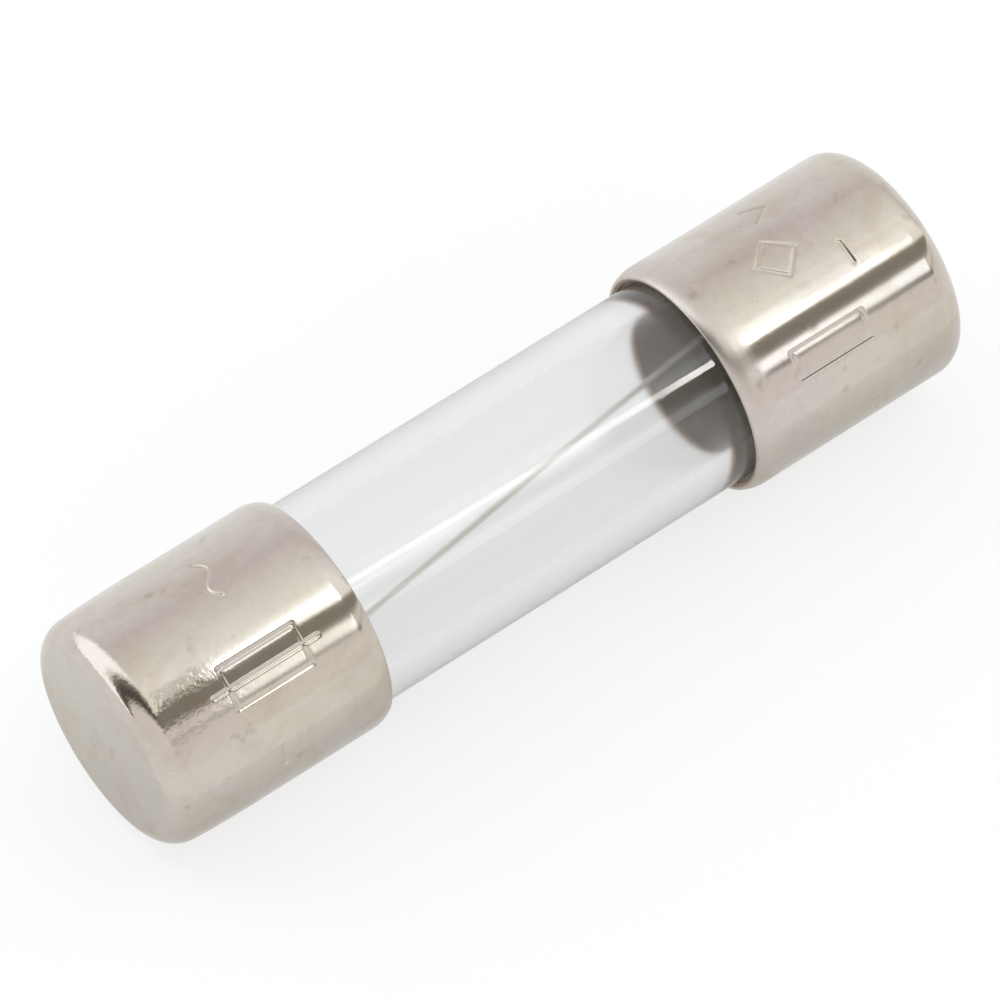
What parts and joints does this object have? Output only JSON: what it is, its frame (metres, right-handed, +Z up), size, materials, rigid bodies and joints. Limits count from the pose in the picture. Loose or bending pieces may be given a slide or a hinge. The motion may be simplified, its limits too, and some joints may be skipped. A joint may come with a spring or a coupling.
{
  "type": "cartridge fuse",
  "caption": "Small glass cartridge fuse: a clear tube with a drawn metal cap on each end and a thin wire element across the bore.",
  "frame": {"origin": "the centre of the fuse, on its axis", "axes": "+X along the fuse from the left cap to the right cap, +Z up, +Y towards the back"},
  "size_m": [0.02, 0.0052, 0.0052],
  "materials": {
    "clear_glass": "clear polished drawn glass with fire-polished rims",
    "nickel_plate": "bright nickel plating on drawn brass, slightly warm with light tarnish",
    "tinned_wire": "plain drawn wire, slightly dull",
    "solder": "dull tin solder with a trace of flux"
  },
  "bodies": {
    "root": {"glass_tube": "clear_glass", "end_cap_left": "nickel_plate", "end_cap_right": "nickel_plate", "fuse_wire": "tinned_wire", "solder_left": "solder", "solder_right": "solder"}
  },
  "joints": []
}
